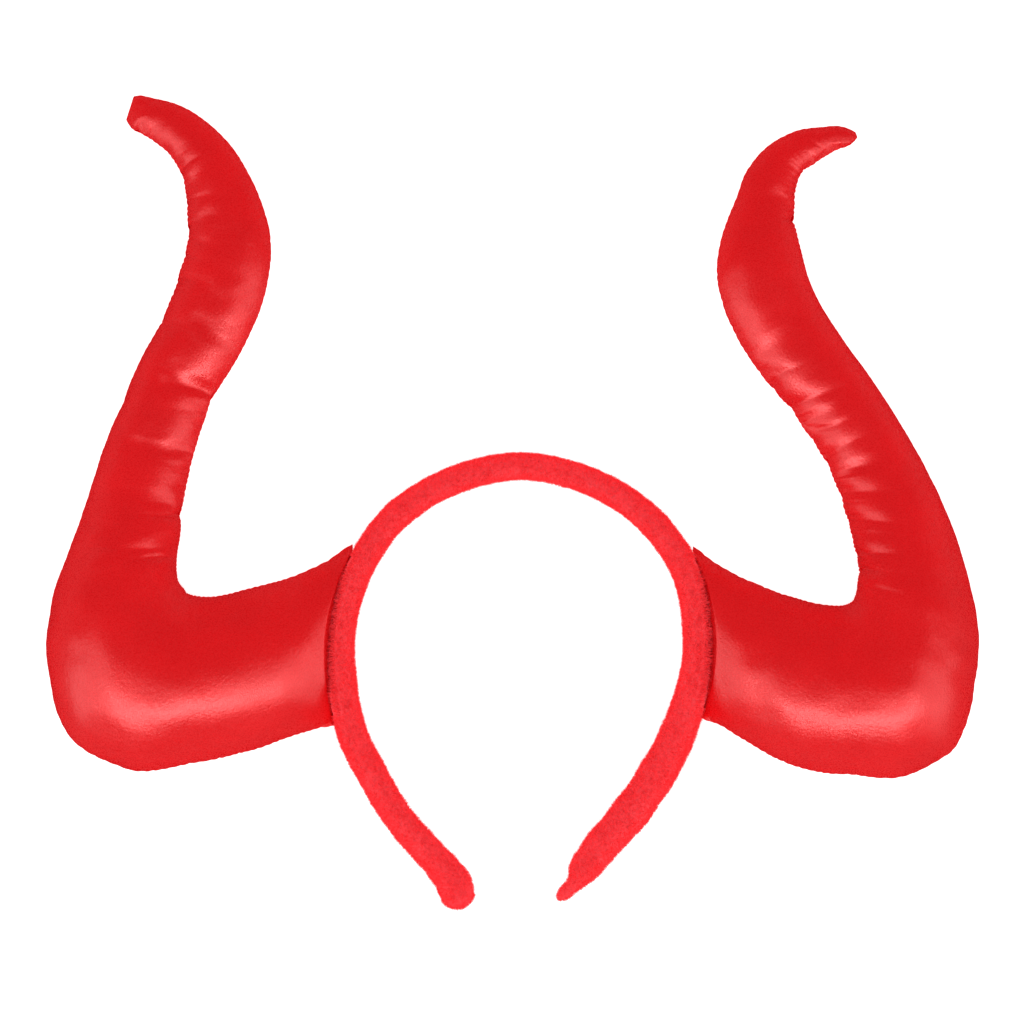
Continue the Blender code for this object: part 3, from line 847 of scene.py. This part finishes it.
def band_skin(hoop, stations, scales, pushes, sides):
    """Sections of the band at those keys. scales shrink a section, pushes move it along the band."""
    turn = (np.arange(sides) + 0.5) * 2 * pi / sides
    across, up = power(np.cos(turn), BAND_SQUARENESS), power(np.sin(turn), BAND_SQUARENESS)
    half_thickness = hoop.column(hoop.thickness, stations) / 2 * scales
    half_width = hoop.column(hoop.width, stations) / 2 * scales
    twist = hoop.column(hoop.twist, stations)[:, None]
    across = across[None, :] / across.max() * half_thickness[:, None]
    up = up[None, :] / up.max() * half_width[:, None]
    side = across * np.cos(twist) - up * np.sin(twist)
    rise = across * np.sin(twist) + up * np.cos(twist)
    centre = hoop.middle(stations) + hoop.along(stations) * pushes[:, None]
    flat = centre[:, None, :] + side[:, :, None] * hoop.outward(stations)[:, None, :]
    return np.concatenate([flat, np.maximum(hoop.height + rise, 0)[:, :, None]], axis=2)


def whole_band_skin(hoop, sides):
    """The band from end to end, with both domed ends."""
    stations = np.linspace(0, hoop.length, ceil(hoop.length / BAND_STATION) + 1)
    dome = np.linspace(0, pi / 2, DOME_RINGS + 2)[1:-1]
    keys = np.concatenate([np.zeros(len(dome)), stations, np.full(len(dome), hoop.length)])
    scales = np.concatenate([np.cos(dome)[::-1], np.ones(len(stations)), np.cos(dome)])
    reach = BAND_END_ROUNDING * np.sin(dome)
    pushes = np.concatenate([-reach[::-1], np.zeros(len(stations)), reach])
    return band_skin(hoop, keys, scales, pushes, sides)


def make_headband(hoop, shift, material):
    """The padded sleeve under the pile."""
    skin = whole_band_skin(hoop, BAND_SIDES)
    spine = skin.mean(axis=1, keepdims=True)
    reach = skin - spine
    half_section = np.linalg.norm(reach, axis=2)
    bumps = np.zeros(half_section.shape)
    for row in BAND_BUMPS:
        bump = dict(zip(BUMP_COLUMNS, row))
        bumps += bump["height"] * lumps(skin, bump["size"], bump["seed"], bump["waves"])
    normals = outward_normals(skin).reshape(-1, 3)
    covered, sweep = at_the_roots(hoop, skin.reshape(-1, 3), normals, np.zeros(3))
    sewn = (covered | sweep.any(axis=1)).reshape(half_section.shape).astype(float)
    sink = PILE_SINK * (1 - ROOT_PADDING * blurred(sewn, *ROOT_PADDING_BLUR))
    skin = spine + reach * (1 + (bumps - sink) / half_section)[:, :, None]
    skin[:, :, 2] = np.maximum(skin[:, :, 2], 0)
    obj = add_object("headband_plush", tube_mesh("headband_plush", skin, shift), material)
    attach(obj, "root")
    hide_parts("headband")
    return obj


def surface_samples(mesh, count, seed):
    """Random places spread evenly over a mesh, the normals there, and the generator that drew them."""
    mesh.calc_loop_triangles()
    corners = np.empty(len(mesh.loop_triangles) * 3, np.int32)
    mesh.loop_triangles.foreach_get("vertices", corners)
    points = np.empty(len(mesh.vertices) * 3, np.float32)
    mesh.vertices.foreach_get("co", points)
    normals = np.empty(len(mesh.vertices) * 3, np.float32)
    mesh.vertex_normals.foreach_get("vector", normals)
    corners, points, normals = corners.reshape(-1, 3), points.reshape(-1, 3), normals.reshape(-1, 3)
    a, b, c = (points[corners[:, i]] for i in range(3))
    area = np.linalg.norm(np.cross(b - a, c - a), axis=1)
    chance = np.random.default_rng(seed)
    chosen = chance.choice(len(corners), count, p=area / area.sum())
    u, v = chance.uniform(size=(2, count))
    flip = u + v > 1
    u, v = np.where(flip, 1 - u, u), np.where(flip, 1 - v, v)
    weights = np.stack([1 - u - v, u, v], axis=1)
    place = (points[corners[chosen]] * weights[:, :, None]).sum(axis=1)
    normal = (normals[corners[chosen]] * weights[:, :, None]).sum(axis=1)
    return place, normal / np.linalg.norm(normal, axis=1)[:, None], chance


def at_the_roots(hoop, place, normal, shift):
    """Which places on the band lie under a horn's root, and which way the pile beside a root is swept."""
    flat = place[:, :2] - shift[:2]
    covered = np.zeros(len(place), bool)
    sweep = np.zeros((len(place), 3))
    for horn in HORNS.values():
        ends = hoop.middle(root_stations(hoop, horn, np.array([-ROOT_COVER, ROOT_COVER])))
        middle = hoop.middle(root_stations(hoop, horn, 0.0))[0]
        outward = hoop.outward(root_stations(hoop, horn, 0.0))[0]
        near = np.linalg.norm(flat - middle, axis=1) < np.linalg.norm(ends[1] - ends[0]) / 2
        behind = np.abs(place[:, 2] - hoop.height) < BAND_WIDTH / 2 - BORDER_WIDTH
        faces_out = normal[:, :2] @ outward
        covered |= near & behind & (faces_out > ROOT_FACING)
        border = near & (place[:, 2] > hoop.height) & (faces_out > BORDER_FACING) & ~covered
        sweep[border] = (*outward * BORDER_SWEEP, BORDER_LIFT)
    return covered, sweep


def make_pile(hoop, band, shift, material):
    """The plush's pile: short leaning strands, each one narrow triangle."""
    place, normal, chance = surface_samples(band.data, PILE_STRANDS, PILE_SEED)
    covered, sweep = at_the_roots(hoop, place, normal, shift)
    keep = ~covered & (place[:, 2] > PILE_CLEAR)
    place, normal, sweep = place[keep], normal[keep], sweep[keep]
    count = len(place)
    comb = np.stack([lumps(place, COMB_SIZE, seed, PATCH_WAVES) for seed in COMB_SEEDS], axis=1)
    lean = normal + COMB_WEIGHT * comb + sweep + chance.normal(size=(count, 3)) * PILE_SCATTER
    lean /= np.linalg.norm(lean, axis=1)[:, None]
    patches = lumps(place, LENGTH_PATCH_SIZE, LENGTH_PATCH_SEED, PATCH_WAVES)
    length = PILE_LENGTH * chance.uniform(*PILE_LENGTHS, count) * (1 + LENGTH_PATCHES * patches)
    length *= np.where(sweep.any(axis=1), BORDER_LENGTH, 1.0)
    across = np.cross(lean, chance.normal(size=(count, 3)))
    across /= np.linalg.norm(across, axis=1)[:, None]
    half = across * (PILE_STRAND_WIDTH / 2)
    base = place - normal * STRAND_ROOT
    tips = base + lean * length[:, None]
    tips[:, 2] = np.maximum(tips[:, 2], PILE_TIP_CLEAR)
    corners = np.stack([base - half, base + half, tips], axis=1).reshape(-1, 3)
    mesh = bpy.data.meshes.new("headband_pile")
    mesh.from_pydata(corners.tolist(), [], np.arange(count * 3).reshape(-1, 3).tolist())
    obj = add_object("headband_pile", mesh, material)
    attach(obj, "root")
    return obj


class Surface:
    """A new material and the few kinds of node that the surfaces here need."""

    def __init__(self, name):
        self.material = bpy.data.materials.new(name)
        self.material.use_nodes = True
        self.nodes = self.material.node_tree.nodes
        self.links = self.material.node_tree.links
        self.shader = self.nodes["Principled BSDF"]
        self.place = self.nodes.new("ShaderNodeTexCoord").outputs["Object"]

    def set(self, **values):
        """Sets sockets of the shader, each named with _ for a space."""
        for name, value in values.items():
            self.shader.inputs[name.replace("_", " ")].default_value = value

    def drive(self, socket, value):
        self.links.new(value, self.shader.inputs[socket])

    def noise(self, kind, source=None):
        node = self.nodes.new("ShaderNodeTexNoise")
        for socket, value in zip(("Scale", "Detail", "Roughness"), kind):
            node.inputs[socket].default_value = value
        self.links.new(source or self.place, node.inputs["Vector"])
        return node.outputs["Fac"]

    def mapped(self, value, low, high):
        """A noise's values, spread from low to high."""
        node = self.nodes.new("ShaderNodeMapRange")
        node.inputs["From Min"].default_value, node.inputs["From Max"].default_value = NOISE_RANGE
        node.inputs["To Min"].default_value = low
        node.inputs["To Max"].default_value = high
        self.links.new(value, node.inputs["Value"])
        return node.outputs["Result"]

    def combined(self, operation, first, second):
        node = self.nodes.new("ShaderNodeMath")
        node.operation = operation
        self.links.new(first, node.inputs[0])
        self.links.new(second, node.inputs[1])
        return node.outputs["Value"]

    def shaded(self, colour, shade):
        """The base colour, lighter and darker as shade says."""
        node = self.nodes.new("ShaderNodeHueSaturation")
        node.inputs["Color"].default_value = colour
        self.links.new(shade, node.inputs["Value"])
        self.drive("Base Color", node.outputs["Color"])

    def relief(self, height, distance, strength):
        node = self.nodes.new("ShaderNodeBump")
        node.inputs["Strength"].default_value = strength
        node.inputs["Distance"].default_value = distance
        self.links.new(height, node.inputs["Height"])
        self.drive("Normal", node.outputs["Normal"])


def satin_material():
    """Woven satin: long threads along the horn, a soft broad gloss and faint uneven weave."""
    satin = Surface("red_satin")
    cloth = satin.nodes.new("ShaderNodeUVMap")
    cloth.uv_map = "cloth"
    stretch = satin.nodes.new("ShaderNodeVectorMath")
    stretch.operation = "MULTIPLY"
    stretch.inputs[1].default_value = THREAD_STRETCH
    satin.links.new(cloth.outputs["UV"], stretch.inputs[0])
    threads = satin.noise(SATIN_THREADS, stretch.outputs["Vector"])
    grain = satin.noise(SATIN_GRAIN)
    clouds = satin.mapped(satin.noise(SATIN_CLOUDS), *CLOUD_SHADES)
    satin.shaded(SATIN_RED, satin.combined("MULTIPLY", clouds, satin.mapped(grain, *GRAIN_SHADES)))
    satin.drive("Roughness", satin.mapped(grain, *SATIN_ROUGHNESS))
    satin.set(Specular_IOR_Level=SATIN_GLOSS, Specular_Tint=SATIN_GLOSS_TINT)
    satin.relief(satin.combined("ADD", threads, grain), SATIN_RELIEF, 1.0)
    return satin.material


def plush_material(name, brightness):
    """Short-pile plush: matt, with soft light and dark patches where the pile leans."""
    plush = Surface(name)
    # brightness scales the whole copy: painted light above 1, painted shade below 1
    low, high = PATCH_SHADES
    plush.shaded(PLUSH_RED, plush.mapped(plush.noise(PLUSH_PATCHES), low * brightness, high * brightness))
    plush.set(Roughness=0.9, Specular_IOR_Level=0.15)
    plush.set(Sheen_Weight=0.35, Sheen_Roughness=0.5, Sheen_Tint=PLUSH_SHEEN_TINT)
    plush.relief(plush.noise(PLUSH_TUFTS), PLUSH_RELIEF, 0.5)
    return plush.material


def table_material():
    table = Surface("table")
    table.shaded(TABLE_WHITE, table.mapped(table.noise(TABLE_CLOUDS), *TABLE_SHADES))
    table.set(Roughness=0.75, Emission_Color=PURE_WHITE, Emission_Strength=TABLE_GLOW)
    return table.material


def make_table():
    mesh = bpy.data.meshes.new("table")
    half = TABLE_HALF
    corners = [(-half, -half, 0), (half, -half, 0), (half, half, 0), (-half, half, 0)]
    mesh.from_pydata(corners, [], [(0, 1, 2, 3)])
    obj = add_object("table", mesh, table_material())
    obj.visible_glossy = False


def softbox(name, place, size, radiance, gloss_only):
    """A rectangular light aimed at the middle of the table, as bright as its radiance says at any size."""
    light = bpy.data.lights.new(name, "AREA")
    light.shape = "RECTANGLE"
    light.size, light.size_y = size
    light.energy = radiance * pi * size[0] * size[1]
    obj = bpy.data.objects.new(name, light)
    obj.location = place
    obj.rotation_euler = (-Vector(place)).to_track_quat("-Z", "Y").to_euler()
    obj.visible_diffuse = not gloss_only
    bpy.context.scene.collection.objects.link(obj)


def make_light():
    world = bpy.data.worlds.new("studio")
    world.use_nodes = True
    backdrop = world.node_tree.nodes["Background"]
    backdrop.inputs["Color"].default_value = PURE_WHITE
    backdrop.inputs["Strength"].default_value = WORLD_LIGHT
    world.cycles_visibility.glossy = False
    bpy.context.scene.world = world
    for row in SOFTBOXES:
        box = Softbox(*row)
        turn, lean = radians(box.azimuth), radians(box.tilt)
        flat = sin(lean) * box.away
        place = (sin(turn) * flat, -cos(turn) * flat, cos(lean) * box.away)
        softbox(box.name, place, box.size, box.radiance, box.gloss_only)


def make_camera():
    camera = bpy.data.cameras.new("camera")
    half_frame = PHOTO_SCALE * PHOTO_SIZE / 2
    distance = CAMERA_HEIGHT - SHARP_HEIGHT
    camera.sensor_fit = "HORIZONTAL"
    camera.lens = camera.sensor_width / 2 * distance / half_frame
    camera.clip_start = 0.05
    camera.clip_end = 50
    obj = bpy.data.objects.new("camera", camera)
    obj.location = (*PHOTO_MIDDLE, CAMERA_HEIGHT)
    bpy.context.scene.collection.objects.link(obj)
    bpy.context.scene.camera = obj


def shift_to_frame(hoop):
    """How far the shapes worked out round the hoop's middle lie from their place in the frame."""
    band_low, band_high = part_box("headband")
    outline = whole_band_skin(hoop, BAND_SIDES).reshape(-1, 3)
    middle = (outline.min(axis=0) + outline.max(axis=0)) / 2
    solid_middle = (np.array(band_low) + np.array(band_high)) / 2
    return np.array([solid_middle[0] - middle[0], solid_middle[1] - middle[1], 0.0])


def main():
    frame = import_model()
    bpy.context.scene.view_settings.view_transform = "Standard"
    hoop = Hoop()
    shift = shift_to_frame(hoop)
    make_camera()
    make_light()
    make_table()
    satin = satin_material()
    for label, horn in HORNS.items():
        make_horn(f"horn_{label}_satin", f"horn_{label}", hoop, horn, shift, satin)
    # the cloth under the pile gets painted shade, the pile painted light
    band = make_headband(hoop, shift, plush_material("red_plush", BAND_PAINTED_SHADE))
    make_pile(hoop, band, shift, plush_material("red_plush_pile", PILE_PAINTED_LIGHT))


main()
